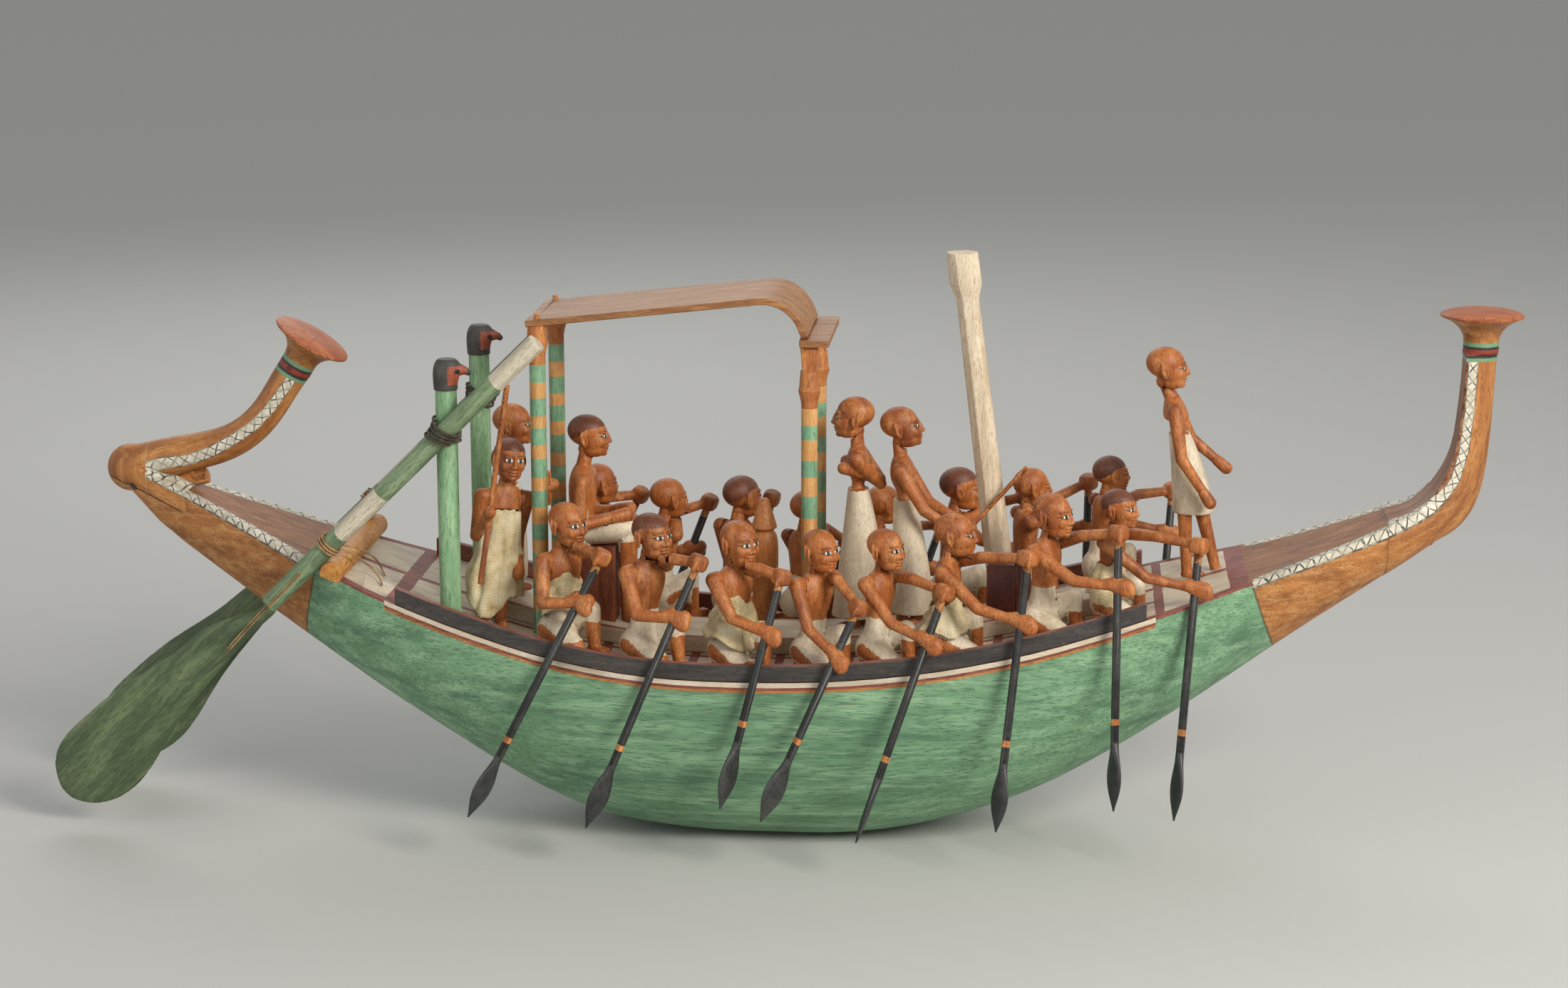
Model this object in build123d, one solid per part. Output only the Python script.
from build123d import *
import math
import os

# Egyptian tomb model boat with sixteen paddlers, in millimetres.
# +X runs to the bow, +Y to port and +Z up. The origin is on the flat that the keel rests on.
# The hull is carved from one log. Everything on deck is pegged or tied to it.

os.makedirs("parts", exist_ok=True)

# Hull: each station is (x, keel height, half breadth at the deck edge).
HULL_STATIONS = [
    (-622, 299, 15.5), (-600, 273, 18.5), (-570, 248, 25), (-540, 226.5, 34), (-500, 198, 48), (-460, 171, 63),
    (-420, 145, 79.5), (-380, 119, 94), (-330, 88, 106.5), (-280, 57, 115), (-233, 31, 120), (-185, 12.5, 122.5),
    (-137, 3.5, 124), (-85, -1, 125), (-30, -1.6, 125), (25, -0.6, 125), (76, 6, 124.3), (120, 16.5, 122.8),
    (164, 31, 119.8), (213, 53, 114.5), (263, 82, 106), (312, 114, 95), (357, 145, 79.5), (403, 178.5, 64.5),
    (450, 211.5, 54), (500, 245.5, 42)]
SECTION_FULLNESS = 2.35
BOW_JOINT_X = 500.0
# The hull is hewn in this many short straight spans, as is everything that lies along its deck.
HULL_SPANS = 44

# Deck edge, seen from the side. The deck is level across.
DECK_LINE = [(-700, 362), (-640, 333), (-600, 316.5), (-570, 304), (-540, 291.5), (-500, 275), (-460, 258.5),
             (-420, 242.3), (-380, 227.8), (-330, 211.8), (-280, 197), (-233, 184.5), (-185, 174.8), (-137, 168.8),
             (-90, 166.6), (-42, 166.5), (0, 167.6), (44, 170.6), (80, 174.6), (116, 179.8), (188, 194.2),
             (259, 213.4), (300, 225.9), (340, 238.2), (385, 252.6), (440, 271.8), (500, 295.4), (560, 320)]

# Stern: a rounded nose, cut by a scarf joint from which the recurved finial rises.
NOSE_CENTRE = (-622.0, 319.0)
NOSE_LONG_RADIUS = 21.5
NOSE_WIDE_RADIUS = 16.5
SCARF_START = (-650.0, 318.0)
SCARF_END = (-566.0, 282.0)
# Each arm station is (x, z, rise in degrees, half thickness, half width).
STERN_ARM = [(-618, 320.5, 8, 19.5, 16.4), (-585, 329.5, 14, 17.5, 16.4), (-550, 337.6, 17, 16.2, 16),
             (-525, 347, 29, 15.3, 15.5), (-503, 363.5, 44, 14.6, 15), (-485, 387, 53, 14.4, 14.6),
             (-468.5, 411.8, 58.5, 15, 15)]
STERN_KNOB_CENTRE = (-566.0, 309.0)
STERN_KNOB_RADIUS = 6.5
STERN_KNOB_LENGTH = 30.0

# Bow: each station is (aft face x, z, fore face x, z, half width); the stem turns upright.
BOW_STATIONS = [(522, 306.5, 546, 277.5, 32), (541, 324.5, 571, 298, 23.5), (553, 347, 582.5, 328, 19.2),
                (558.8, 373, 587, 367, 17), (561, 400, 588.5, 398.5, 15.6), (561.5, 444, 590.5, 444, 14.4)]
UMBEL_NECK_RADIUS = 15.2
UMBEL_NECK_HEIGHT = 9.0
UMBEL_DISC_RADIUS = 35.5
UMBEL_RISE = 31.0
UMBEL_RIM = 2.0
UMBEL_CROWN = 4.5

# Gunwale rails and the raised walk down the middle.
RAIL_AFT_X = -362.0
RAIL_FORE_X = 292.0
RAIL_HEIGHT = 15.0
RAIL_WIDTH = 8.5
RAIL_INSET = 0.5
RAIL_CLEARANCE = 0.8
PLATFORM_AFT_X = -302.0
PLATFORM_FORE_X = 284.0
PLATFORM_HALF_WIDTH = 35.0
PLATFORM_HEIGHT = 15.0

# Steering gear: two posts, a crossbeam, and two oars that lie against both.
POST_X = -316.0
POST_Y = 79.0
POST_RADIUS = 9.4
STARBOARD_POST_TOP = 411.0
PORT_POST_TOP = 414.0
FALCON_HEIGHT = 27.0
FALCON_RADIUS = 11.6
LOOM_TOP = (-231.3, 458.0)
LOOM_SLOPE = 44.45
LOOM_RADIUS = 8.5
LOOM_CLEARANCE = 0.3
LOOM_TOE_IN = 3.2
BLADE_START = 345.0
# Each blade station is (distance from the loom's top, centre's rise off the axis, half width, half thickness).
BLADE_STATIONS = [(345, 0, 8.5, 8.5), (385, 4.5, 12.5, 7.6), (435, 7.5, 19.5, 6.6), (489, 9, 28, 5.4),
                  (540, 6, 37, 4.2), (570, 5.5, 38.3, 3.4), (596, 6.5, 31, 2.6), (611, 6, 17, 2)]
BLADE_TIP = 616.5
BLADE_TIP_HALF_WIDTH = 6.0
BLADE_TIP_HALF_THICKNESS = 1.2
BEAM_RADIUS = 10.0
BEAM_ALONG_LOOM = 281.3
BEAM_HALF_LENGTH = 97.0

# Cordage.
LASHING_ROPE = 2.9
LASHING_PITCH = 3.5
LASHING_TURNS = 4
LASHING_TILT = 23.0
COLLAR_ROPE = 2.4
COLLAR_PITCH = 3.0
COLLAR_TURNS = 3
COLLAR_RISE = 16.0
TWINE = 1.8
# Two loose strands hang from the starboard loom at the crossbeam onto the deck.
LONG_TWINE = [(-412, -80.2, 270.2), (-405.5, -62, 264.6), (-401.5, -43, 257), (-398.5, -26, 248.5),
              (-394, -17, 240.5), (-388.5, -24, 234.2), (-384.5, -33.5, 231.5)]
SHORT_TWINE = [(-413, -81.5, 267.5), (-406.5, -71.5, 261.8), (-400.5, -61, 253.5), (-395, -50, 245),
               (-388.5, -47.5, 237), (-383.5, -54, 232), (-380.8, -62.8, 230.2)]
# Two strands lie along the starboard loom: (distance from its top, rise off the axis, how far outboard).
LOOM_TWINE = [(299, 1.6, 9.8), (326, 0.4, 9.9), (352, 0.9, 9.9), (380, -0.6, 9.6), (404, -2.4, 9.1)]
LOOM_TWINE_APART = 2.3

# Canopy.
CANOPY_AFT_X = -240.0
CANOPY_FORE_X = -2.0
COLUMN_Y = 52.0
COLUMN_RADIUS = 7.1
BUD_RADIUS = 9.7
BUD_HEIGHT = 29.0
ABACUS_TOP = 15.0
ABACUS_BOTTOM = 11.2
ABACUS_HEIGHT = 22.5
TENON_RADIUS = 2.6
TENON_STAND = 4.0
TENON_CLEARANCE = 0.1
ROOF_AFT = (-249.0, 462.5)
ROOF_BEND = (-21.5, 487.8)
ROOF_FORE = (-8.3, 455.6)
ROOF_BEND_RADIUS = 33.0
ROOF_THICKNESS = 5.8
ROOF_HALF_WIDTH = 58.0
LINTEL_LENGTH = 25.5
LINTEL_THICKNESS = 5.6
LINTEL_HALF_WIDTH = 64.0
LINTEL_TOP = 455.6
LINTEL_CENTRE_X = 2.7

# Post amidships and the two blocks that hold its foot.
MAST_FOOT = (167.2, 218.0)
MAST_HEAD = (127.2, 525.0)
MAST_FOOT_WIDTH = 24.5
MAST_NECK_WIDTH = 19.5
MAST_HEAD_WIDTH = 28.0
MAST_HEAD_HEIGHT = 27.0
MAST_NECK_HEIGHT = 14.0
STEP_AFT_X = 153.0
STEP_SEAM_X = 178.5
STEP_FORE_X = 192.0
STEP_HALF_WIDTH = 21.0
STEP_HEIGHT = 47.0
STEP_SEAM = 0.6
STEP_CLEARANCE = 0.15

# Paddles.
SHAFT_RADIUS = 3.6
PADDLE_CLEARANCE = 0.08
PADDLE_BLADE_LENGTH = 64.0
PADDLE_BLADE_HALF_WIDTH = 11.0
PADDLE_BLADE_HALF_THICKNESS = 2.9
FIST_RADIUS = 7.2
FIST_HEIGHT = 14.0
FIST_CAP = 3.0

# Kneeling paddler, carved at this height and then made larger or smaller for each man.
PADDLER_HEIGHT = 132.0
PADDLER_INBOARD = 43.0
SHOULDER_HALF = 16.5
SHOULDER_HEIGHT = 84.0
ARM_PEG_RADIUS = 1.6
ARM_PEG_LENGTH = 5.0
ARM_PEG_CLEARANCE = 0.1

# Each row is (spine x, yaw, height, top of the shaft, tip of the blade, blade turn, lower grip distance).
STARBOARD_CREW = [
    (-216, 38, 137, (-175.2, -110.1, 275.7), (-290, -157.1, 48.7), 50, 47),
    (-142, 38, 141, (-91.2, -111.8, 273.1), (-186.8, -158.8, 42.4), 40, 55),
    (-65, 42, 139, (-20.1, -111.6, 262.1), (-70.1, -158.6, 62.8), 50, 53),
    (6, 42, 131, (47.2, -117.3, 238), (-34.4, -164.3, 54.4), 35, 50),
    (62, 32, 128, (120.9, -119.7, 253.9), (47.8, -166.7, 38.7), 85, 48),
    (120.5, 8, 134, (190.5, -112.2, 283.4), (167, -159.2, 49.3), 40, 58),
    (205, 28, 134, (266.6, -102.2, 305.1), (266.8, -149.2, 67.6), 30, 49),
    (262, 22, 121, (335.9, -84.4, 290.9), (318.8, -131.4, 54.7), 25, 40)]
PORT_CREW = [
    (-213, 38, 137, (-171, 110.1, 281), (-286, 157.1, 50), 50, 47),
    (-148, 38, 134, (-107, 111.8, 275), (-196, 158.8, 44), 40, 55),
    (-80, 42, 141, (-49.5, 111.6, 280), (-92, 158.6, 62), 50, 53),
    (-19, 42, 128, (22, 117.3, 238), (-58, 164.3, 54.4), 35, 50),
    (50, 32, 130, (108, 118.7, 256), (38, 165.7, 38.7), 85, 48),
    (119, 8, 140, (184, 112.2, 286), (161, 159.2, 49.3), 40, 58),
    (185, 20, 128, (242, 104, 303), (240, 151, 64), 30, 49),
    (256, 22, 124, (318, 88, 300), (306, 135, 60), 25, 45)]


# Men who stand. Each row is (x, y, yaw, height, waist, hem, hem's half depth and half width, lean forward,
# lean to the left in degrees, head tilt, stride, bulge of the kilt, platform under the feet).
STANDING = {
    "bow_lookout": (345, 6, 0, 206, 130, 58, 18, 16, -41, 0, 0, 13, 2, False),
    "attendant": (38.5, 4, 180, 212, 129, 12, 24.5, 19, 2, 0, 0, 6, -2, True),
    "hauler": (86, 2, 0, 199, 115, 12, 20, 19, -14, 0, -8, 6, 2, True),
    "staff_bearer": (-285, -57, -62, 168, 102, 26, 15, 17, -2, 7.7, 0, 9, 0, False),
    "steersman": (-278, 5, 0, 174, 100, 14, 16, 17, 2, 0, 0, 6, 1, True)}
# Where each man's right and left hands are, in the boat's own axes, and how far his elbows turn out.
HANDS = {
    "bow_lookout": ((343, -22, 316), (357, 26, 336), 0.6),
    "attendant": ((31, -15, 332), (31, 17, 330), 0.6),
    "hauler": ((130, -20, 277), (133, -12, 284), 0.6),
    "staff_bearer": ((-281.5, -82, 299), (-259, -57, 248), 0.05),
    "steersman": ((-241, -9, 309), (-258, 33, 288), 0.5)}
STAFF_RADIUS = 2.6
STAFF = ((-263.7, -71, 414.6), (-287.5, -89, 240))
STICK = ((129, -16, 272), (187, -20, 339))
SHORT_BAR = ((-239.5, -9.5, 294), (-239.5, -9.5, 325))

# Owner under the canopy, on a block seat, and the covered jar in front.
OWNER_X = -207.0
OWNER_HEIGHT = 118.0
SEAT_AFT_X = -219.0
SEAT_FORE_X = -179.0
SEAT_HALF_WIDTH = 19.0
SEAT_TOP = 257.0
JAR_X = -45.0
JAR_Y = -15.0
JAR_RADIUS = 12.6
JAR_FOOT_RADIUS = 6.5
JAR_MOUTH_RADIUS = 7.8
JAR_TOP = 276.0
COVER_RADIUS = 11.4
COVER_TIP_RADIUS = 4.2
COVER_HEIGHT = 29.0

# Linen tied over some of the crew: thickness of the cloth and how far it stands off the body.
LINEN_THICKNESS = 1.2
LINEN_CLEARANCE = 0.3


def smooth_value(rows, x, column):
    """Value of a column at x, on a smooth curve through the rows."""
    k = max(i for i in range(len(rows) - 1) if rows[i][0] <= x or i == 0)
    before, after = rows[k], rows[k + 1]
    width = after[0] - before[0]

    def slope(i):
        low, high = max(i - 1, 0), min(i + 1, len(rows) - 1)
        return (rows[high][column] - rows[low][column]) / (rows[high][0] - rows[low][0])

    t = (x - before[0]) / width
    ends = before[column] * (1 + 2 * t) * (1 - t) ** 2 + after[column] * t * t * (3 - 2 * t)
    return ends + width * (slope(k) * t * (1 - t) ** 2 + slope(k + 1) * t * t * (t - 1))


def straight_value(rows, x, column):
    """Value of a column at x, by straight steps between rows."""
    for before, after in zip(rows, rows[1:]):
        if x <= after[0]:
            break
    share = (x - before[0]) / (after[0] - before[0])
    return before[column] + (after[column] - before[column]) * share


HULL_AFT_X = HULL_STATIONS[0][0]
HULL_FORE_X = HULL_STATIONS[-1][0]
SPAN_XS = [HULL_AFT_X + (HULL_FORE_X - HULL_AFT_X) * k / HULL_SPANS for k in range(HULL_SPANS + 1)]
HULL_ROWS = [(x, smooth_value(HULL_STATIONS, x, 1), smooth_value(HULL_STATIONS, x, 2)) for x in SPAN_XS]
DECK_ROWS = [(x, smooth_value(DECK_LINE, x, 1)) for x in SPAN_XS]


def deck_height(x):
    """Height of the deck above the keel flat."""
    return straight_value(DECK_ROWS, x, 1)


def half_breadth(x):
    """Half breadth of the hull at the deck edge."""
    return straight_value(HULL_ROWS, x, 2)


def side_face(points):
    """Face in the XZ plane through the given (x, z) corners."""
    return make_face(Polyline(*[(x, 0, z) for x, z in points], close=True))


def deck_steps(aft, fore):
    """Deck points from aft to fore: both ends, and each hull station between them."""
    inside = [x for x, _ in DECK_ROWS if aft + 1 < x < fore - 1]
    return [(x, deck_height(x)) for x in [aft] + inside + [fore]]


def slab_on_deck(aft, fore, thickness, half_width):
    """Board of even thickness that lies on the deck across the middle."""
    low = deck_steps(aft, fore)
    high = [(x, z + thickness) for x, z in reversed(low)]
    return extrude(side_face(low + high), half_width, dir=(0, 1, 0), both=True)


WIDE = 200.0
DEEP = 150.0
# Half length of what a figure, post or beam covers of the deck.
FIGURE_REACH = 48.0
STANDING_REACH = 32.0
POST_REACH = 14.0


def below_deck(x, reach, lift=0.0):
    """Block under the deck round x, with the deck's own spans for its top."""
    aft, fore = x - reach, x + reach
    top = [(a, z + lift) for a, z in deck_steps(aft, fore)]
    bottom = [(fore, deck_height(fore) - DEEP), (aft, deck_height(aft) - DEEP)]
    return extrude(side_face(top + bottom), WIDE, dir=(0, 1, 0), both=True)


def outboard(x, side, reach):
    """Block outside the inner face of a gunwale rail round x, as high as the rail."""
    aft, fore = x - reach, x + reach
    spare = RAIL_INSET + RAIL_WIDTH + RAIL_CLEARANCE
    corners = [(aft, side * (half_breadth(aft) - spare)), (fore, side * (half_breadth(fore) - spare)),
               (fore, side * WIDE), (aft, side * WIDE)]
    plan = make_face(Polyline(*[(a, b, deck_height(aft) - DEEP) for a, b in corners], close=True))
    top = max(deck_height(aft), deck_height(fore)) + RAIL_HEIGHT + RAIL_CLEARANCE
    return extrude(plan, top - deck_height(aft) + DEEP, dir=(0, 0, 1))


def section(top, down, depth, half):
    """Closed hull section: a full curve below and a level top, set square to the hull's run."""
    power = 2 / SECTION_FULLNESS
    lower = []
    for step in range(9):
        angle = math.pi * step / 8
        across = half * math.copysign(abs(math.cos(angle)) ** power, math.cos(angle))
        fall = depth * abs(math.sin(angle)) ** power
        lower.append((top[0] + down[0] * fall, -across, top[1] + down[1] * fall))
    curve = Spline(*lower, tangents=[(down[0], 0, down[1]), (-down[0], 0, -down[1])])
    return make_face([curve, Line(curve @ 1, curve @ 0)])


def hull_loft():
    sections = []
    for (x, keel, half), (_, deck) in zip(HULL_ROWS, DECK_ROWS):
        sections.append(section((x, deck), (0, -1), deck - keel, half))
    body = loft(sections, ruled=True)
    return body - Pos(0, 0, -5) * Box(900, 300, 10)


def nose():
    profile = scale(Sphere(1), by=(NOSE_LONG_RADIUS, NOSE_WIDE_RADIUS, NOSE_LONG_RADIUS))
    return Pos(NOSE_CENTRE[0], 0, NOSE_CENTRE[1]) * profile


def scarf_upper():
    """Everything above and aft of the scarf joint at the stern."""
    corners = [SCARF_START, SCARF_END, (SCARF_END[0], SCARF_END[1] + 60), (SCARF_START[0], SCARF_START[1] + 60)]
    return extrude(side_face(corners), WIDE, dir=(0, 1, 0), both=True)


def umbel():
    """Open papyrus flower, standing on its neck at the origin."""
    flare = Spline((UMBEL_NECK_RADIUS, UMBEL_NECK_HEIGHT), (UMBEL_NECK_RADIUS + 5, UMBEL_RISE * 0.7),
                   (UMBEL_DISC_RADIUS, UMBEL_RISE), tangents=[(0, 1), (1, 0.35)])
    crown = Spline((UMBEL_DISC_RADIUS, UMBEL_RISE + UMBEL_RIM), (0, UMBEL_RISE + UMBEL_RIM + UMBEL_CROWN),
                   tangents=[(-1, 0.5), (-1, 0)])
    lines = [Line((0, 0), (UMBEL_NECK_RADIUS, 0)), Line((UMBEL_NECK_RADIUS, 0), flare @ 0), flare,
             Line(flare @ 1, crown @ 0), crown, Line(crown @ 1, (0, 0))]
    return revolve(Plane.XZ * make_face(lines), Axis.Z)


def rise_location(x, z, rise):
    """Frame at (x, z) in the middle plane whose Z axis climbs towards the bow at the given rise."""
    angle = math.radians(rise)
    return Plane(origin=(x, 0, z), x_dir=(0, 1, 0), z_dir=(math.cos(angle), 0, math.sin(angle)))


def stern_finial(chip):
    sections = [rise_location(x, z, rise) * Ellipse(wide, thick) for x, z, rise, thick, wide in STERN_ARM]
    arm = loft(sections)
    x, z, rise, _, _ = STERN_ARM[-1]
    flower = rise_location(x, z, rise) * umbel()
    knob = Pos(STERN_KNOB_CENTRE[0], 0, STERN_KNOB_CENTRE[1]) * Rot(0, 78, 0) * Cylinder(
        STERN_KNOB_RADIUS, STERN_KNOB_LENGTH)
    return arm + [flower, chip, knob - below_deck(STERN_KNOB_CENTRE[0], 30)]


def bow_finial():
    deck = deck_height(BOW_JOINT_X)
    _, keel, half = HULL_STATIONS[-1]
    sections = [section((BOW_JOINT_X, deck), (0, -1), deck - keel, half)]
    for x0, z0, x1, z1, wide in BOW_STATIONS:
        depth = math.dist((x0, z0), (x1, z1))
        down = ((x1 - x0) / depth, (z1 - z0) / depth)
        sections.append(section((x0, z0), down, depth, wide))
    stem = loft(sections)
    x0, z0, x1, z1, _ = BOW_STATIONS[-1]
    return stem + rise_location((x0 + x1) / 2, z0, 90) * umbel()


def gunwale_rails():
    """Two rails, each hewn span by span along the deck edge."""
    faces = []
    for x, deck in deck_steps(RAIL_AFT_X, RAIL_FORE_X):
        outer = half_breadth(x) - RAIL_INSET
        corners = [(x, outer, deck), (x, outer - RAIL_WIDTH, deck), (x, outer - RAIL_WIDTH, deck + RAIL_HEIGHT),
                   (x, outer, deck + RAIL_HEIGHT)]
        faces.append(make_face(Polyline(*corners, close=True)))
    rail = loft(faces, ruled=True)
    return [mirror(rail, Plane.XZ), rail]


def deck_platform():
    return slab_on_deck(PLATFORM_AFT_X, PLATFORM_FORE_X, PLATFORM_HEIGHT, PLATFORM_HALF_WIDTH)


# Steering gear.
LOOM_RUN = (-math.cos(math.radians(LOOM_SLOPE)), -math.sin(math.radians(LOOM_SLOPE)))
POST_ALONG_LOOM = (POST_X - LOOM_TOP[0]) / LOOM_RUN[0]
LOOM_Y_AT_POST = POST_Y + POST_RADIUS + LOOM_RADIUS + LOOM_CLEARANCE


def loom_y(along):
    """How far out the loom's axis lies, at a distance from its top."""
    return LOOM_Y_AT_POST - (along - POST_ALONG_LOOM) * math.tan(math.radians(LOOM_TOE_IN))


def loom_point(along, side):
    return Vector(LOOM_TOP[0] + LOOM_RUN[0] * along, side * loom_y(along), LOOM_TOP[1] + LOOM_RUN[1] * along)


def beam_centre():
    """The beam lies under both looms, square to them."""
    gap = LOOM_RADIUS + BEAM_RADIUS + LOOM_CLEARANCE
    point = loom_point(BEAM_ALONG_LOOM, 1)
    return point.X - LOOM_RUN[1] * gap, point.Z + LOOM_RUN[0] * gap


def stern_crossbeam():
    x, z = beam_centre()
    beam = Pos(x, 0, z) * Rot(90, 0, 0) * Cylinder(BEAM_RADIUS, 2 * BEAM_HALF_LENGTH)
    return fillet(beam.edges().filter_by(GeomType.CIRCLE), 1.5) - below_deck(x, POST_REACH)


def falcon_head():
    """Falcon's head that caps a steering post, beak to the bow."""
    cap = loft([Ellipse(POST_RADIUS + 1.2, POST_RADIUS + 1.2), Pos(0.5, 0, 12) * Ellipse(FALCON_RADIUS, 11),
                Pos(1.5, 0, 21) * Ellipse(FALCON_RADIUS, 10), Pos(1, 0, FALCON_HEIGHT) * Ellipse(7.5, 7)])
    beak = Plane(origin=(8, 0, 18), z_dir=(1, 0, -0.12)) * Cone(7.2, 2.6, 12, align=(Align.CENTER,) * 2 + (Align.MIN,))
    hook = Pos(19.6, 0, 15.2) * Sphere(2.9)
    return cap + beak + hook


def steering_posts():
    solids = []
    for side, top in ((-1, STARBOARD_POST_TOP), (1, PORT_POST_TOP)):
        foot = deck_height(POST_X) - POST_REACH
        middle = Pos(POST_X, side * POST_Y, (top + foot) / 2)
        post = middle * Cylinder(POST_RADIUS, top - foot) - below_deck(POST_X, POST_REACH)
        solids += [post, Pos(POST_X, side * POST_Y, top) * falcon_head()]
    return solids


def loom_frame(side):
    """Frame at the loom's top: Z runs down the loom and X points up and aft, in the blade's plane."""
    top = loom_point(0, side)
    run = loom_point(100, side) - top
    return Plane(origin=top, x_dir=(run.Z, 0, -run.X), z_dir=run)


def steering_oar(side):
    stations = [Pos(rise, 0, s) * Ellipse(half, thick) for s, rise, half, thick in BLADE_STATIONS[1:]]
    root = Pos(0, 0, BLADE_START) * Ellipse(LOOM_RADIUS, LOOM_RADIUS * 0.999)
    last_rise = BLADE_STATIONS[-1][1]
    tip = Pos(last_rise, 0, BLADE_TIP) * Ellipse(BLADE_TIP_HALF_WIDTH, BLADE_TIP_HALF_THICKNESS)
    blade = loft([root] + stations + [tip])
    loom = Cylinder(LOOM_RADIUS, BLADE_START + 1, align=(Align.CENTER, Align.CENTER, Align.MIN))
    return loom_frame(side).location * (loom + blade)


# Cordage.
def arc_between(start, corner, end):
    """Arc from start to end whose tangents there meet at the corner."""
    middle = (start + end) / 2
    half = (end - start).length / 2
    to_corner = corner - middle
    if to_corner.length < 1e-6:
        return Line(start, end)
    radius = half * (corner - start).length / to_corner.length
    sagitta = radius - math.sqrt(radius ** 2 - half ** 2)
    return ThreePointArc(start, middle + to_corner.normalized() * sagitta, end)


def biarc(start, leaving, end, reaching):
    """Two arcs that run from start to end and keep the given directions there."""
    leaving = leaving.normalized()
    reaching = reaching.normalized()
    span = end - start
    both = leaving + reaching
    a = both.dot(both) - 4
    b = -2 * span.dot(both)
    c = span.dot(span)
    if abs(a) < 1e-9:
        reach = -c / b
    else:
        reach = (-b - math.sqrt(b ** 2 - 4 * a * c)) / (2 * a)
    first = start + leaving * reach
    second = end - reaching * reach
    joint = (first + second) / 2
    return [arc_between(start, first, joint), arc_between(joint, second, end)]


def wound_tube(path, diameter):
    wire = Wire(path)
    profile = Plane(origin=wire @ 0, z_dir=wire % 0) * Circle(diameter / 2)
    return sweep(profile, path=wire)


def closest_turns(path, diameter, name):
    """Print the least gap of a winding to itself, measured on points along its path."""
    wire = Wire(path)
    count = 900
    points = [wire @ (i / count) for i in range(count + 1)]
    spacing = wire.length / count
    skip = int(2.5 * diameter / spacing) + 1
    least = min((points[i] - points[j]).length
                for i in range(0, count, 3) for j in range(i + skip, count + 1, 2))
    print(f"{name}: {wire.length:.0f} mm of {diameter} mm, least gap to itself {least - diameter:.2f} mm")


def stanchion_lashing(side):
    """Rope wound round a steering post and its loom together."""
    tilt = math.radians(LASHING_TILT)
    u = Vector(math.cos(tilt), 0, -math.sin(tilt))
    n = Vector(math.sin(tilt), 0, math.cos(tilt))
    v = Vector(0, side, 0)
    run = (loom_point(POST_ALONG_LOOM + 50, side) - loom_point(POST_ALONG_LOOM - 50, side)).normalized()
    crossing = loom_point(POST_ALONG_LOOM, side)
    post = Vector(POST_X, side * POST_Y, crossing.Z)
    rise = LASHING_PITCH / 2
    count = 2 * LASHING_TURNS
    loom_drift = Vector(run.dot(u) / run.dot(n), run.dot(v) / run.dot(n), 0)
    post_drift = -math.tan(tilt)
    half = LASHING_ROPE / 2 + LOOM_CLEARANCE
    path = []
    last = None
    for k in range(count):
        level = (k - (count - 1) / 2) * rise
        if k % 2 == 0:
            radius = LOOM_RADIUS / abs(run.dot(n)) + half
            centre = crossing + n * level + u * (loom_drift.X * level) + v * (loom_drift.Y * level)
            start, mid, end = centre + u * radius, centre + v * radius, centre - u * radius
            going = v
        else:
            radius = POST_RADIUS / math.cos(tilt) + half
            centre = post + n * level + u * (post_drift * level)
            start, mid, end = centre - u * radius, centre - v * radius, centre + u * radius
            going = -v
        if last is None:
            path.append(Line(start - going * LASHING_ROPE, start))
        else:
            path += biarc(last, going, start, going)
        path.append(ThreePointArc(start, mid, end))
        last = end
    path.append(Line(last, last + v * LASHING_ROPE))
    return path


def loom_collar(side):
    """Cord wound round the loom just above the crossbeam, as an even helix of half turns."""
    along = loom_frame(side)
    radius = LOOM_RADIUS + COLLAR_ROPE / 2 + LOOM_CLEARANCE
    centre = BEAM_ALONG_LOOM - COLLAR_RISE

    def point(turn):
        angle = 2 * math.pi * turn
        height = centre + COLLAR_PITCH * turn
        return along.from_local_coords(Vector(radius * math.cos(angle), radius * math.sin(angle), height))

    def direction(turn):
        angle = 2 * math.pi * turn
        local = Vector(-radius * math.sin(angle), radius * math.cos(angle), COLLAR_PITCH / (2 * math.pi))
        return (along.from_local_coords(local) - along.origin).normalized()

    steps = [(k / 4 - COLLAR_TURNS / 2) for k in range(4 * COLLAR_TURNS + 1)]
    path = [Line(point(steps[0]) - direction(steps[0]) * COLLAR_ROPE, point(steps[0]))]
    for before, after in zip(steps, steps[1:]):
        path += biarc(point(before), direction(before), point(after), direction(after))
    path.append(Line(point(steps[-1]), point(steps[-1]) + direction(steps[-1]) * COLLAR_ROPE))
    return path


def cord_radii(points):
    radii = []
    for before, here, after in zip(points, points[1:], points[2:]):
        first = Vector(*here) - Vector(*before)
        second = Vector(*after) - Vector(*here)
        turn = math.radians(first.get_angle(second))
        radii.append(0.45 * min(first.length, second.length) / math.tan(turn / 2))
    return radii


def cord(points, diameter, name):
    radii = cord_radii(points)
    print(name, "radii", [round(r, 1) for r in radii])
    path = FilletPolyline(*points, radius=radii)
    tube = sweep(Plane(origin=path @ 0, z_dir=path % 0) * Circle(diameter / 2), path=path)
    expected = math.pi * diameter ** 2 / 4 * path.length
    print(name, "length", round(path.length, 1), "volume over expected", round(tube.volume / expected, 4))
    return tube


# Canopy.
def roof_lower_z(x):
    share = (x - ROOF_AFT[0]) / (ROOF_BEND[0] - ROOF_AFT[0])
    return ROOF_AFT[1] + (ROOF_BEND[1] - ROOF_AFT[1]) * share


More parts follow.
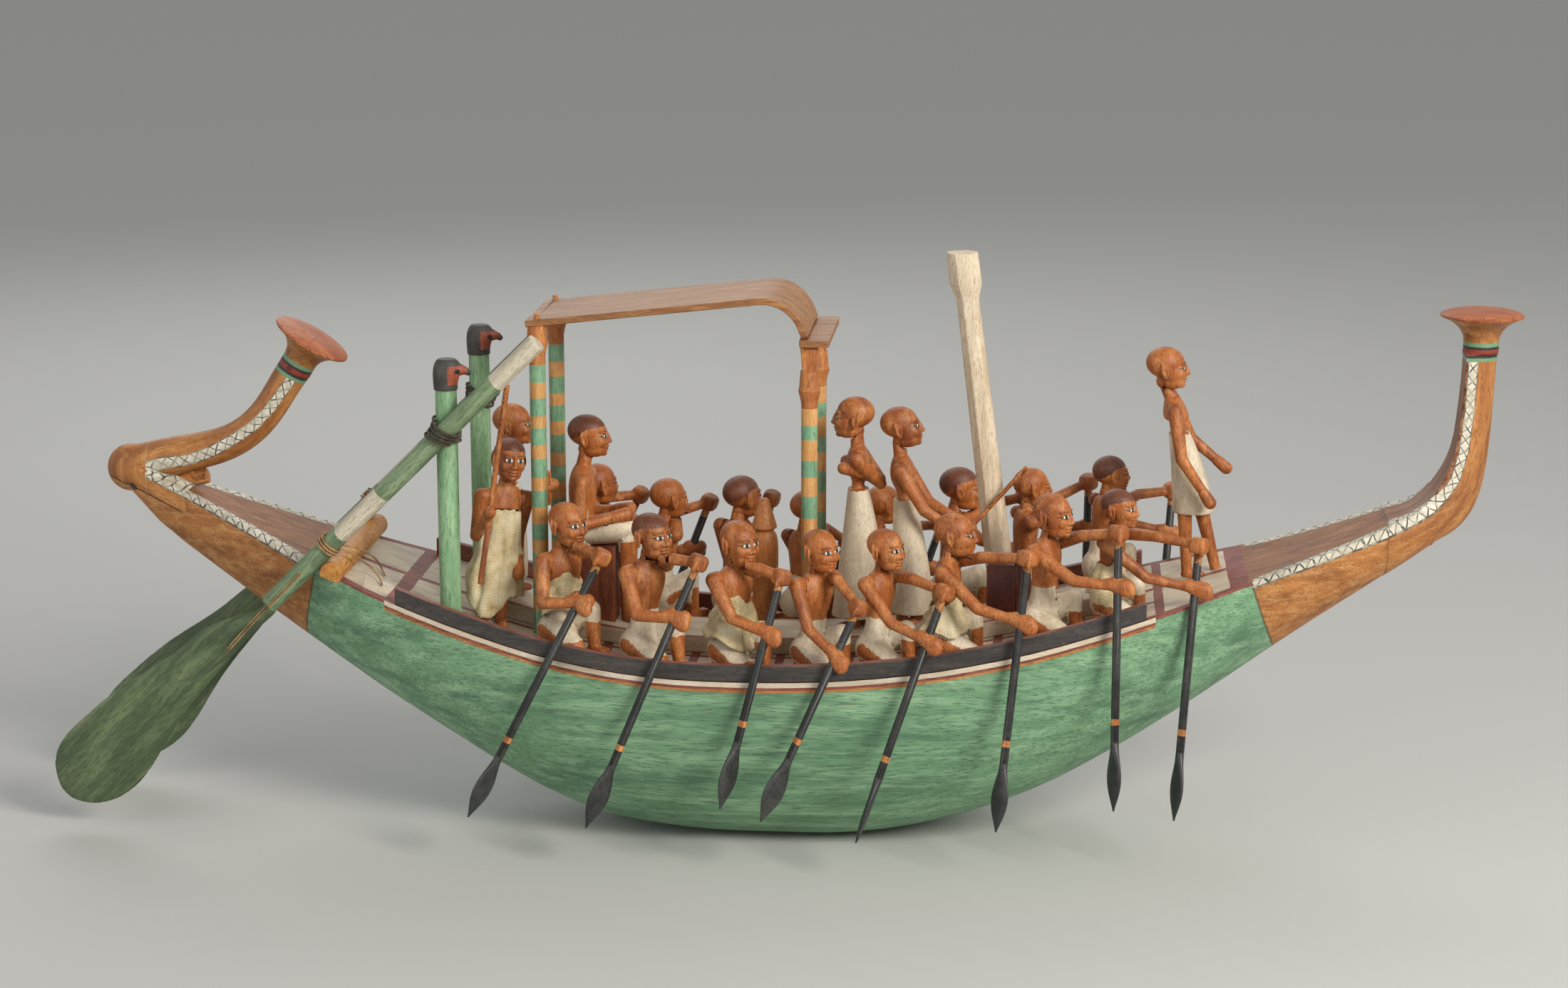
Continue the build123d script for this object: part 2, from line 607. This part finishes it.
def canopy_roof():
    first = Vector(ROOF_BEND[0] - ROOF_AFT[0], ROOF_BEND[1] - ROOF_AFT[1]).normalized()
    second = Vector(ROOF_FORE[0] - ROOF_BEND[0], ROOF_FORE[1] - ROOF_BEND[1]).normalized()
    normals = [Vector(-first.Y, first.X), Vector(-second.Y, second.X)]
    corner = (normals[0] + normals[1]).normalized()
    reach = ROOF_THICKNESS / corner.dot(normals[0])
    inner = [Vector(*ROOF_AFT), Vector(*ROOF_BEND), Vector(*ROOF_FORE)]
    outer = [inner[0] + normals[0] * ROOF_THICKNESS, inner[1] + corner * reach, inner[2] + normals[1] * ROOF_THICKNESS]
    to_side = [[(p.X, -ROOF_HALF_WIDTH, p.Y) for p in line] for line in (inner, outer)]
    low = FilletPolyline(*to_side[0], radius=ROOF_BEND_RADIUS)
    high = FilletPolyline(*to_side[1], radius=ROOF_BEND_RADIUS + ROOF_THICKNESS)
    face = make_face([low, high, Line(low @ 0, high @ 0), Line(low @ 1, high @ 1)])
    board = extrude(face, 2 * ROOF_HALF_WIDTH, dir=(0, 1, 0))
    board -= Pos(0, 0, LINTEL_TOP - 20) * Box(200, 300, 40)
    hole = Cylinder(TENON_RADIUS + TENON_CLEARANCE, 60)
    for side in (-1, 1):
        board -= Pos(CANOPY_AFT_X, side * COLUMN_Y, ROOF_AFT[1]) * hole
    return board


def canopy_lintel():
    board = Pos(LINTEL_CENTRE_X, 0, LINTEL_TOP - LINTEL_THICKNESS / 2) * Box(
        LINTEL_LENGTH, 2 * LINTEL_HALF_WIDTH, LINTEL_THICKNESS)
    board = fillet(board.edges().filter_by(Axis.Z), 1.5)
    for side in (-1, 1):
        board -= Pos(CANOPY_FORE_X, side * COLUMN_Y, LINTEL_TOP - LINTEL_THICKNESS) * Cylinder(
            TENON_RADIUS + TENON_CLEARANCE, 2 * (LINTEL_THICKNESS - 1.5))
    return board


def turned(profile, x, y):
    """Turned post: profile is a list of (radius, z), closed to the axis."""
    corners = [(0, profile[0][1])] + profile + [(0, profile[-1][1])]
    return Pos(x, y, 0) * revolve(Plane.XZ * make_face(Polyline(*corners, close=True)), Axis.Z)


def bud(base):
    """Closed papyrus bud capital whose top is at the given height."""
    return [(COLUMN_RADIUS, base - BUD_HEIGHT), (COLUMN_RADIUS + 0.7, base - BUD_HEIGHT + 4),
            (BUD_RADIUS, base - BUD_HEIGHT * 0.62), (BUD_RADIUS - 0.8, base - BUD_HEIGHT * 0.5),
            (COLUMN_RADIUS + 0.6, base)]


def canopy_columns():
    solids = []
    for side in (-1, 1):
        top = roof_lower_z(CANOPY_AFT_X) + 3
        column = turned([(COLUMN_RADIUS, 100)] + bud(top), CANOPY_AFT_X, side * COLUMN_Y)
        column -= below_deck(CANOPY_AFT_X, POST_REACH)
        slope = (ROOF_BEND[1] - ROOF_AFT[1]) / (ROOF_BEND[0] - ROOF_AFT[0])
        over = [(CANOPY_AFT_X - 40, top - 3 - 40 * slope), (CANOPY_AFT_X + 40, top - 3 + 40 * slope),
                (CANOPY_AFT_X + 40, top + 50), (CANOPY_AFT_X - 40, top + 50)]
        column -= extrude(side_face(over), WIDE, dir=(0, 1, 0), both=True)
        stand = ROOF_THICKNESS + TENON_STAND + 4
        tenon = Pos(CANOPY_AFT_X, side * COLUMN_Y, top - 3 - 4 + stand / 2) * Cylinder(TENON_RADIUS, stand)
        solids.append(column + tenon)
        under = LINTEL_TOP - LINTEL_THICKNESS
        bud_top = under - ABACUS_HEIGHT
        column = turned([(COLUMN_RADIUS, 100)] + bud(bud_top), CANOPY_FORE_X, side * COLUMN_Y)
        column -= below_deck(CANOPY_FORE_X, POST_REACH)
        block = loft([Pos(CANOPY_FORE_X, side * COLUMN_Y, bud_top - 1) * Rectangle(ABACUS_BOTTOM, ABACUS_BOTTOM),
                      Pos(CANOPY_FORE_X, side * COLUMN_Y, under) * Rectangle(ABACUS_TOP, ABACUS_TOP)])
        tenon = Pos(CANOPY_FORE_X, side * COLUMN_Y, under) * Cylinder(TENON_RADIUS, 2 * (LINTEL_THICKNESS - 2))
        solids.append(column + block + tenon)
    return solids


def mast_axis(height):
    """Point on the post's middle line at a height."""
    share = (height - MAST_FOOT[1]) / (MAST_HEAD[1] - MAST_FOOT[1])
    return MAST_FOOT[0] + (MAST_HEAD[0] - MAST_FOOT[0]) * share


def mast_post(spare=0.0):
    """Eight-sided post with a wider head; spare grows it to cut its own socket."""
    neck = MAST_HEAD[1] - MAST_HEAD_HEIGHT
    stations = [(MAST_FOOT[1] - spare, MAST_FOOT_WIDTH), (neck - MAST_NECK_HEIGHT, MAST_NECK_WIDTH),
                (neck, MAST_HEAD_WIDTH), (MAST_HEAD[1], MAST_HEAD_WIDTH - 1)]
    faces = []
    for height, width in stations:
        octagon = RegularPolygon(width / 2 + spare, 8, major_radius=False, rotation=22.5)
        faces.append(Pos(mast_axis(height), 0, height) * octagon)
    return loft(faces, ruled=True)


def mast_step():
    socket = mast_post(STEP_CLEARANCE)
    platform_top = below_deck(STEP_SEAM_X, 2 * POST_REACH, PLATFORM_HEIGHT)
    top = deck_height(STEP_SEAM_X) + PLATFORM_HEIGHT + STEP_HEIGHT
    solids = []
    for aft, fore, drop in ((STEP_AFT_X, STEP_SEAM_X, 4), (STEP_SEAM_X + STEP_SEAM, STEP_FORE_X, 0)):
        height = 120
        block = Pos((aft + fore) / 2, 0, top - drop - height / 2) * Box(fore - aft, 2 * STEP_HALF_WIDTH, height)
        block = fillet(block.edges().filter_by(Axis.Y).group_by(Axis.Z)[-1], 2)
        solids.append(block - platform_top - socket)
    return solids


# Figures. Each is carved facing +X with its feet or knees on z = 0.
def limb(start, end, r0, r1, round_start=False, round_end=False):
    """Turned limb between two points, with flat or rounded ends."""
    start = Vector(*start)
    end = Vector(*end)
    length = (end - start).length
    slant = math.sqrt(0.5)
    edges = []
    low = 0
    high = length
    if round_start:
        low = -r0
        edges.append(ThreePointArc((0, -r0), (r0 * slant, -r0 * slant), (r0, 0)))
    else:
        edges.append(Line((0, 0), (r0, 0)))
    edges.append(Line((r0, 0), (r1, length)))
    if round_end:
        high = length + r1
        edges.append(ThreePointArc((r1, length), (r1 * slant, length + r1 * slant), (0, high)))
    else:
        edges.append(Line((r1, length), (0, length)))
    edges.append(Line((0, high), (0, low)))
    turned_limb = revolve(Plane.XZ * make_face(edges), Axis.Z)
    return Plane(origin=start, z_dir=end - start) * turned_limb


def chain(points, radii):
    """Limbs in a row through points, rounded at each joint, as a list of solids to be joined."""
    solids = []
    for k in range(len(points) - 1):
        solids.append(limb(points[k], points[k + 1], radii[k], radii[k + 1], k == 0, True))
    return solids


def head(size, centre, tilt=0):
    """Shaven head in the round, of a given height: skull, face, nose and ears, as a list of solids."""
    k = size / 38
    skull = Pos(-1 * k, 0, 3.6 * k) * scale(Sphere(1), by=(17.5 * k, 14.2 * k, 15.5 * k))
    face = Pos(4.5 * k, 0, -7 * k) * scale(Sphere(1), by=(11.5 * k, 10.8 * k, 12 * k))
    nose_ridge = limb((15.2 * k, 0, 1 * k), (18.6 * k, 0, -6 * k), 1.3 * k, 2.4 * k)
    ears = [Pos(-1.5 * k, side * 13.4 * k, -2 * k) * Rot(90, 0, 0) * Cylinder(4.4 * k, 3.2 * k)
            for side in (-1, 1)]
    return [Pos(*centre) * Rot(0, tilt, 0) * solid for solid in [skull, face, nose_ridge] + ears]


def oval(x, z, deep, wide):
    return Pos(x, 0, z) * Ellipse(deep, wide)


def shoulder_cuts(half, height, peg_length):
    """Flats and peg holes that take the two arms."""
    cut = []
    for side in (-1, 1):
        cut.append(Pos(0, side * (half + 20), height - 5) * Box(60, 40, 44))
        cut.append(Pos(0, side * half, height) * Rot(90, 0, 0) * Cylinder(
            ARM_PEG_RADIUS + ARM_PEG_CLEARANCE, 2 * peg_length + 0.6))
    return cut


def kneeling_body():
    torso = loft([oval(-4, 30, 12.5, 14), oval(-2, 46, 9.8, 12.2), oval(0, 64, 10.5, 15.5),
                  oval(0.5, 79, 10.8, 18.2), oval(0, 88, 8.5, 14.5), oval(1, 93, 5.5, 6.2)])
    neck = limb((0.5, 0, 88), (3, 0, 102), 6.4, 6)
    hips = Pos(-4, 0, 22) * scale(Sphere(1), by=(16, 19, 19))
    # Outer knee on the deck with its shin folded back, inner knee raised.
    low_leg = chain([(-4, -9, 22), (22, -11, 11), (-6, -11, 8)], [13.5, 10.5, 7.5])
    high_leg = chain([(-4, 9, 24), (21, 12, 39), (25, 12, 8)], [13, 8.2, 5])
    foot = Pos(29, 12, 4) * Box(19, 9.5, 8)
    body = torso + ([neck, hips, foot] + low_leg + high_leg + head(38, (6, 0, 113)))
    below = Pos(0, 0, -20) * Box(200, 200, 40)
    return body - [below] - shoulder_cuts(SHOULDER_HALF, SHOULDER_HEIGHT, ARM_PEG_LENGTH)


def bend(shoulder, hand, upper, lower, pole):
    """Elbow of an arm whose two lengths stretch to reach the hand, bent towards pole."""
    reach = (hand - shoulder).length
    total = upper + lower
    if reach > total * 0.97:
        upper, lower = upper * reach / total / 0.97, lower * reach / total / 0.97
    along = (hand - shoulder).normalized()
    out = (pole - along * pole.dot(along)).normalized()
    x = (reach ** 2 + upper ** 2 - lower ** 2) / (2 * reach)
    return shoulder + along * x + out * math.sqrt(max(upper ** 2 - x ** 2, 0.01))


def arm_to(shoulder, side_out, hand, pole, size):
    """Pegged arm from a shoulder point out to a hand, as solids to be joined, and its elbow."""
    cap = shoulder + side_out * (6.2 * size)
    elbow = bend(cap, hand, 36 * size, 34 * size, pole)
    root = limb(shoulder, cap, 7 * size, 6.8 * size)
    peg = limb(shoulder - side_out * (ARM_PEG_LENGTH * size), shoulder + side_out, ARM_PEG_RADIUS * size,
               ARM_PEG_RADIUS * size)
    return [root, peg] + chain([cap, elbow, hand], [6.8 * size, 5.2 * size, 4.1 * size]), elbow


KNEELING = kneeling_body()
KNEELING_PORT = mirror(KNEELING, Plane.XZ)


def standing_body(height, waist, hem, deep, wide, lean, tilt, stride, bulge):
    """Man on his feet, in a kilt; the part above the waist leans."""
    shoulder = height - 50

    def sway(z):
        return lean * z / height

    torso = loft([oval(sway(waist - 6), waist - 6, 8.5, 11.5), oval(sway(waist + 12), waist + 12, 8.2, 11.5),
                  oval(sway(shoulder - 14), shoulder - 14, 10.5, 17), oval(sway(shoulder), shoulder, 8.6, 15),
                  oval(sway(shoulder + 5), shoulder + 5, 5.5, 6.4)])
    neck_top = height - 30
    neck = limb((sway(shoulder), 0, shoulder), (sway(height) + 1, 0, neck_top), 6.4, 5.8)
    middle = (waist + hem) / 2
    kilt = loft([oval(sway(hem), hem, deep, wide),
                 oval(sway(middle) + bulge, middle, (deep + 10) / 2 + 1, (wide + 12) / 2 + 2),
                 oval(sway(waist), waist, 9.2, 12.4)])
    pieces = [neck, kilt]
    for side in (-1, 1):
        foot_x = side * stride
        knee_height = max(middle * 0.6, 30)
        knee = (foot_x * 0.6 + sway(knee_height), side * 6, knee_height)
        pieces += chain([(sway(middle), side * 5.5, middle), knee, (foot_x - 3, side * 6.5, 5)], [8, 6.4, 4.6])
        foot = Pos(foot_x + 2.5, side * 6.5, 2.5) * scale(Sphere(1), by=(11, 4.6, 5))
        pieces.append(foot)
    head_centre = (sway(height) + 3, 0, height - 19.1)
    body = torso + (pieces + head(38, head_centre, tilt))
    level = shoulder - 4
    below = Pos(0, 0, -20) * Box(200, 200, 40)
    cuts = [Pos(sway(level), 0, 0) * cut for cut in shoulder_cuts(SHOULDER_HALF - 1.5, level, ARM_PEG_LENGTH)]
    return body - [below] - cuts, Vector(sway(level), SHOULDER_HALF - 1.5, level)


def rod(ends, radius):
    return limb(ends[0], ends[1], radius, radius)


def standing_man(name):
    """Body, two pegged arms and what the man holds."""
    x, y, yaw, height, waist, hem, deep, wide, lean, side_lean, tilt, stride, bulge, raised = STANDING[name]
    body, shoulder_at = standing_body(height, waist, hem, deep, wide, lean, tilt, stride, bulge)
    lift = PLATFORM_HEIGHT if raised else 0
    under = below_deck(x, STANDING_REACH, lift)
    place = Pos(x, y, deck_height(x) + lift - 2) * Rot(0, 0, yaw) * Rot(-side_lean, 0, 0)
    body = place * body - under
    held = {"staff_bearer": (STAFF, STAFF_RADIUS), "hauler": (STICK, STAFF_RADIUS * 0.8),
            "steersman": (SHORT_BAR, STAFF_RADIUS * 1.2)}.get(name)
    solids = [body]
    rods = []
    if held:
        rods.append(rod(*held))
    right_hand, left_hand, elbows_out = HANDS[name]
    for out_sign, hand in ((-1, right_hand), (1, left_hand)):
        shoulder = (place * Pos(shoulder_at.X, out_sign * shoulder_at.Y, shoulder_at.Z)).position
        side_out = (place * Pos(0, out_sign, 0)).position - place.position
        back = (place * Pos(-1, 0, 0)).position - place.position
        target = Vector(*hand)
        pieces, elbow = arm_to(shoulder, side_out, target, back + side_out * elbows_out + Vector(0, 0, -0.5), 1)
        forward = (target - elbow).normalized()
        pieces.append(limb(target - forward * 3, target + forward * 7, 5, 5.6, True, True))
        arm = pieces[0] + pieces[1:]
        solids.append(arm - [body] - solids[1:] - rods)
    return solids + rods


def owner():
    """Owner seated on the block, hands on the lap, with bare shins in front of it."""
    seat = SEAT_TOP
    torso = loft([oval(-6, seat, 15, 18), oval(-5, seat + 22, 11.5, 14.5), oval(-3, seat + 40, 12, 17),
                  oval(-3, seat + 58, 11.5, 19), oval(-3, seat + 67, 9, 15), oval(-2, seat + 73, 6, 7)])
    neck = limb((-2.5, 0, seat + 68), (1, 0, seat + 84), 6.8, 6.2)
    lap = loft([Plane.YZ.offset(-18) * Pos(0, seat + 12) * Ellipse(19, 12),
                Plane.YZ.offset(8) * Pos(0, seat + 13) * Ellipse(20, 13),
                Plane.YZ.offset(38) * Pos(0, seat + 17) * Ellipse(19, 12),
                Plane.YZ.offset(47) * Pos(0, seat + 18) * Ellipse(14, 8)])
    floor = deck_height(OWNER_X + 40) + PLATFORM_HEIGHT
    legs = []
    for side in (-1, 1):
        legs += chain([(38, side * 8, seat + 10), (37, side * 8, floor + 6)], [8.5, 5])
        legs.append(Pos(44, side * 8, floor + 3) * scale(Sphere(1), by=(12, 5, 6)))
    pieces = [neck, lap] + legs + head(39, (3, 0, seat + 99))
    body = torso + pieces
    cuts = shoulder_cuts(SHOULDER_HALF, seat + 60, ARM_PEG_LENGTH)
    block = Box(SEAT_FORE_X - SEAT_AFT_X + 12, 80, 200)
    under_seat = Pos((SEAT_FORE_X + SEAT_AFT_X) / 2 - OWNER_X - 6, 0, seat - 100) * block
    place = Pos(OWNER_X, 0, 0)
    body = place * (body - cuts - [under_seat]) - below_deck(OWNER_X + 40, STANDING_REACH, PLATFORM_HEIGHT)
    solids = [body]
    for side in (-1, 1):
        shoulder = Vector(OWNER_X, side * SHOULDER_HALF, seat + 60)
        hand = Vector(OWNER_X + 31, side * 15, seat + 29)
        pieces, elbow = arm_to(shoulder, Vector(0, side, 0), hand, Vector(-0.6, side * 0.4, -1), 1.05)
        forward = (hand - elbow).normalized()
        pieces.append(limb(hand - forward * 4, hand + forward * 8, 5.6, 6, True, True))
        solids.append(pieces[0] + pieces[1:] - [body])
    return solids


def owner_seat():
    block = Pos((SEAT_AFT_X + SEAT_FORE_X) / 2, 0, SEAT_TOP - 50) * Box(
        SEAT_FORE_X - SEAT_AFT_X, 2 * SEAT_HALF_WIDTH, 100)
    middle = (SEAT_AFT_X + SEAT_FORE_X) / 2
    return fillet(block.edges().filter_by(Axis.Z), 1.5) - below_deck(middle, STANDING_REACH, PLATFORM_HEIGHT)


def jar():
    floor = deck_height(JAR_X) + PLATFORM_HEIGHT
    side = Spline((JAR_FOOT_RADIUS, floor), (JAR_RADIUS * 0.86, floor + 38), (JAR_RADIUS, JAR_TOP - 20),
                  (JAR_MOUTH_RADIUS, JAR_TOP), tangents=[(0.12, 1), (-1, 0.55)])
    lines = [Line((0, floor - 5), (JAR_FOOT_RADIUS, floor - 5)), Line((JAR_FOOT_RADIUS, floor - 5), side @ 0), side,
             Line(side @ 1, (0, JAR_TOP)), Line((0, JAR_TOP), (0, floor - 5))]
    body = Pos(JAR_X, JAR_Y, 0) * revolve(Plane.XZ * make_face(lines), Axis.Z)
    return body - below_deck(JAR_X, POST_REACH, PLATFORM_HEIGHT)


def jar_cover():
    profile = [(JAR_MOUTH_RADIUS, JAR_TOP), (COVER_RADIUS, JAR_TOP + 3), (COVER_RADIUS - 0.6, JAR_TOP + 6),
               (COVER_TIP_RADIUS, JAR_TOP + COVER_HEIGHT - 1), (COVER_TIP_RADIUS - 1, JAR_TOP + COVER_HEIGHT)]
    return turned(profile, JAR_X, JAR_Y)


def linen_ring(height, deep, wide, lobes, swing, phase):
    """Closed curve of a cloth's edge round a body, with folds."""
    points = []
    for step in range(16):
        angle = 2 * math.pi * step / 16
        reach = 1 + swing * math.cos(lobes * angle + phase)
        points.append((deep * reach * math.cos(angle), wide * reach * math.sin(angle), height))
    return make_face(Spline(*points, periodic=True))


def linen_band(low, high, low_size, high_size, swing, phase):
    """Thin band of cloth round a body, tight at its top and folded at its hem."""
    def shell(spare):
        rings = []
        for share, folds in ((0, swing), (0.5, swing * 0.5), (1, 0.01)):
            height = low + (high - low) * share
            deep = low_size[0] + (high_size[0] - low_size[0]) * share + spare
            wide = low_size[1] + (high_size[1] - low_size[1]) * share + spare
            rings.append(linen_ring(height, deep, wide, 4, folds, phase))
        return loft(rings)

    return shell(LINEN_THICKNESS) - shell(0)


def largest(shape):
    return max(shape.solids(), key=lambda solid: solid.volume)


def linen_wraps(crew):
    """Five bands: on four kneeling men of the starboard side and on the man with the staff."""
    solids = []
    for number, low, high, low_size, high_size in (
            (1, 42, 66, (14, 18), (11.5, 15)), (3, 34, 62, (19, 22), (11.5, 14.5)),
            (6, 32, 52, (19, 22), (11.5, 14.5)), (8, 32, 60, (18, 22), (11.5, 14.5))):
        x, yaw, height = STARBOARD_CREW[number - 1][:3]
        size = height / PADDLER_HEIGHT
        y = PADDLER_INBOARD - half_breadth(x)
        place = Pos(x, y, deck_height(x) - 4) * Rot(0, 0, -yaw) * Pos(-1, 0, 0)
        band = linen_band(low, high, low_size, high_size, 0.08, number)
        solids.append(largest(place * scale(band, by=size) - crew[f"starboard_paddler_{number}"]))
    row = STANDING["staff_bearer"]
    x, y, yaw, side_lean = row[0], row[1], row[2], row[9]
    place = Pos(x, y, deck_height(x) - 2) * Rot(0, 0, yaw) * Rot(-side_lean, 0, 0)
    band = linen_band(30, 104, (20, 22), (11, 14.5), 0.07, 1.0)
    solids.append(largest(place * band - crew["staff_bearer"]))
    return solids


def loom_twine():
    strands = []
    frame = loom_frame(-1)
    for shift in (0, -LOOM_TWINE_APART):
        points = [frame.from_local_coords(Vector(p + shift, -out, s)) for s, p, out in LOOM_TWINE]
        strands.append(cord([(v.X, v.Y, v.Z) for v in points], TWINE * 0.8, "loom twine"))
    return strands


def loose_twine():
    return [cord(LONG_TWINE, TWINE, "long twine"), cord(SHORT_TWINE, TWINE, "short twine")]


def paddle_frame(top, tip):
    return Plane(origin=tip, z_dir=Vector(*top) - Vector(*tip))


def paddle(top, tip, turn):
    length = math.dist(top, tip)
    shaft = Pos(0, 0, PADDLE_BLADE_LENGTH - 4) * Cylinder(
        SHAFT_RADIUS, length - PADDLE_BLADE_LENGTH + 4, align=(Align.CENTER, Align.CENTER, Align.MIN))
    wide, thick = PADDLE_BLADE_HALF_WIDTH, PADDLE_BLADE_HALF_THICKNESS
    shape = [(0, 0.8, 0.7), (0.16, wide * 0.5, thick * 0.7), (0.42, wide * 0.98, thick), (0.6, wide * 0.86, thick),
             (0.82, SHAFT_RADIUS * 1.3, SHAFT_RADIUS * 0.95), (1.0, SHAFT_RADIUS, SHAFT_RADIUS)]
    blade = loft([Pos(0, 0, PADDLE_BLADE_LENGTH * share) * Ellipse(a, b * 0.999) for share, a, b in shape])
    return paddle_frame(top, tip).location * Rot(0, 0, turn) * (shaft + blade)


def paddler(spine_x, yaw, height, top, tip, grip, side):
    """Body and two arms; the arms reach the paddle and are pierced for its shaft."""
    size = height / PADDLER_HEIGHT
    base_y = side * (half_breadth(spine_x) - PADDLER_INBOARD)
    turn = side * yaw
    place = Pos(spine_x, base_y, deck_height(spine_x) - 4) * Rot(0, 0, turn)
    blank = KNEELING if side < 0 else KNEELING_PORT
    body = place * scale(blank, by=size) - [below_deck(spine_x, FIGURE_REACH), outboard(spine_x, side, FIGURE_REACH)]
    shaft_run = (Vector(*tip) - Vector(*top)).normalized()
    upper_hand = Vector(*top) + shaft_run * (FIST_HEIGHT / 2 - FIST_CAP)
    lower_hand = Vector(*top) + shaft_run * grip
    hole_top = Vector(*top) - shaft_run * 0.3
    hole = Plane(origin=hole_top, z_dir=shaft_run) * Cylinder(
        SHAFT_RADIUS + PADDLE_CLEARANCE, 130, align=(Align.CENTER, Align.CENTER, Align.MIN))
    arms = []
    for out_sign, hand in ((-side, upper_hand), (side, lower_hand)):
        shoulder = (place * Pos(0, out_sign * SHOULDER_HALF * size, SHOULDER_HEIGHT * size)).position
        side_out = (place * Pos(0, out_sign, 0)).position - place.position
        low = out_sign == side
        pole = Vector(0.1, side * 0.5, -1) if low else Vector(0, side, 0.4)
        wrist = hand
        if low:
            grip_along = (hand - shoulder).normalized()
            wrist = hand + grip_along * 3
        pieces, elbow = arm_to(shoulder, side_out, wrist, pole, size)
        if low:
            forward = (wrist - elbow).normalized()
            pieces.append(limb(hand - forward * 9, hand + forward * 8, 5.2, 6.4, True, True))
        else:
            fist = Plane(origin=hand, z_dir=shaft_run) * Cylinder(FIST_RADIUS, FIST_HEIGHT)
            pieces.append(fillet(fist.edges().filter_by(GeomType.CIRCLE), 2.2))
        arms.append(pieces[0] + pieces[1:] - [hole, body])
    return [body] + arms


def crew_parts():
    named = {}
    for side, label, crew in ((-1, "starboard", STARBOARD_CREW), (1, "port", PORT_CREW)):
        for number, (x, yaw, height, top, tip, turn, grip) in enumerate(crew, 1):
            named[f"{label}_paddler_{number}"] = paddler(x, yaw, height, top, tip, grip, side)
            named[f"{label}_paddle_{number}"] = [paddle(top, tip, turn)]
    return named


def save(name, solids):
    pieces = []
    for item in solids:
        pieces += item.solids()
    shape = pieces[0] if len(pieces) == 1 else Compound(children=pieces)
    shape.label = name
    export_step(shape, f"parts/{name}.step")


def main():
    whole = hull_loft() + nose()
    chip = whole & scarf_upper()
    hull = whole - scarf_upper()
    parts = {
        "hull": [hull],
        "stern_finial": [stern_finial(chip) - hull],
        "bow_finial": [bow_finial()],
        "gunwale_rails": gunwale_rails(),
        "deck_platform": [deck_platform()],
        "stern_crossbeam": [stern_crossbeam()],
        "steering_posts": steering_posts(),
        "starboard_steering_oar": [steering_oar(-1)],
        "port_steering_oar": [steering_oar(1)],
        "canopy_roof": [canopy_roof()],
        "canopy_lintel": [canopy_lintel()],
        "canopy_columns": canopy_columns(),
        "mast_post": [mast_post()],
        "mast_step": mast_step(),
    }
    lashings = []
    for side, label in ((-1, "starboard"), (1, "port")):
        path = stanchion_lashing(side)
        closest_turns(path, LASHING_ROPE, label + " post lashing")
        lashings.append(wound_tube(path, LASHING_ROPE))
    parts["post_lashings"] = lashings
    collars = []
    for side, label in ((-1, "starboard"), (1, "port")):
        path = loom_collar(side)
        closest_turns(path, COLLAR_ROPE, label + " loom collar")
        collars.append(wound_tube(path, COLLAR_ROPE))
    parts["crossbeam_lashings"] = collars
    crew = crew_parts()
    for name in STANDING:
        crew[name] = standing_man(name)
    parts.update(crew)
    parts["linen_wraps"] = linen_wraps(crew)
    parts["seated_owner"] = owner()
    parts["owner_seat"] = [owner_seat()]
    parts["jar"] = [jar()]
    parts["jar_cover"] = [jar_cover()]
    parts["loom_twine"] = loom_twine()
    parts["loose_twine"] = loose_twine()
    for name, solids in parts.items():
        save(name, solids)


main()
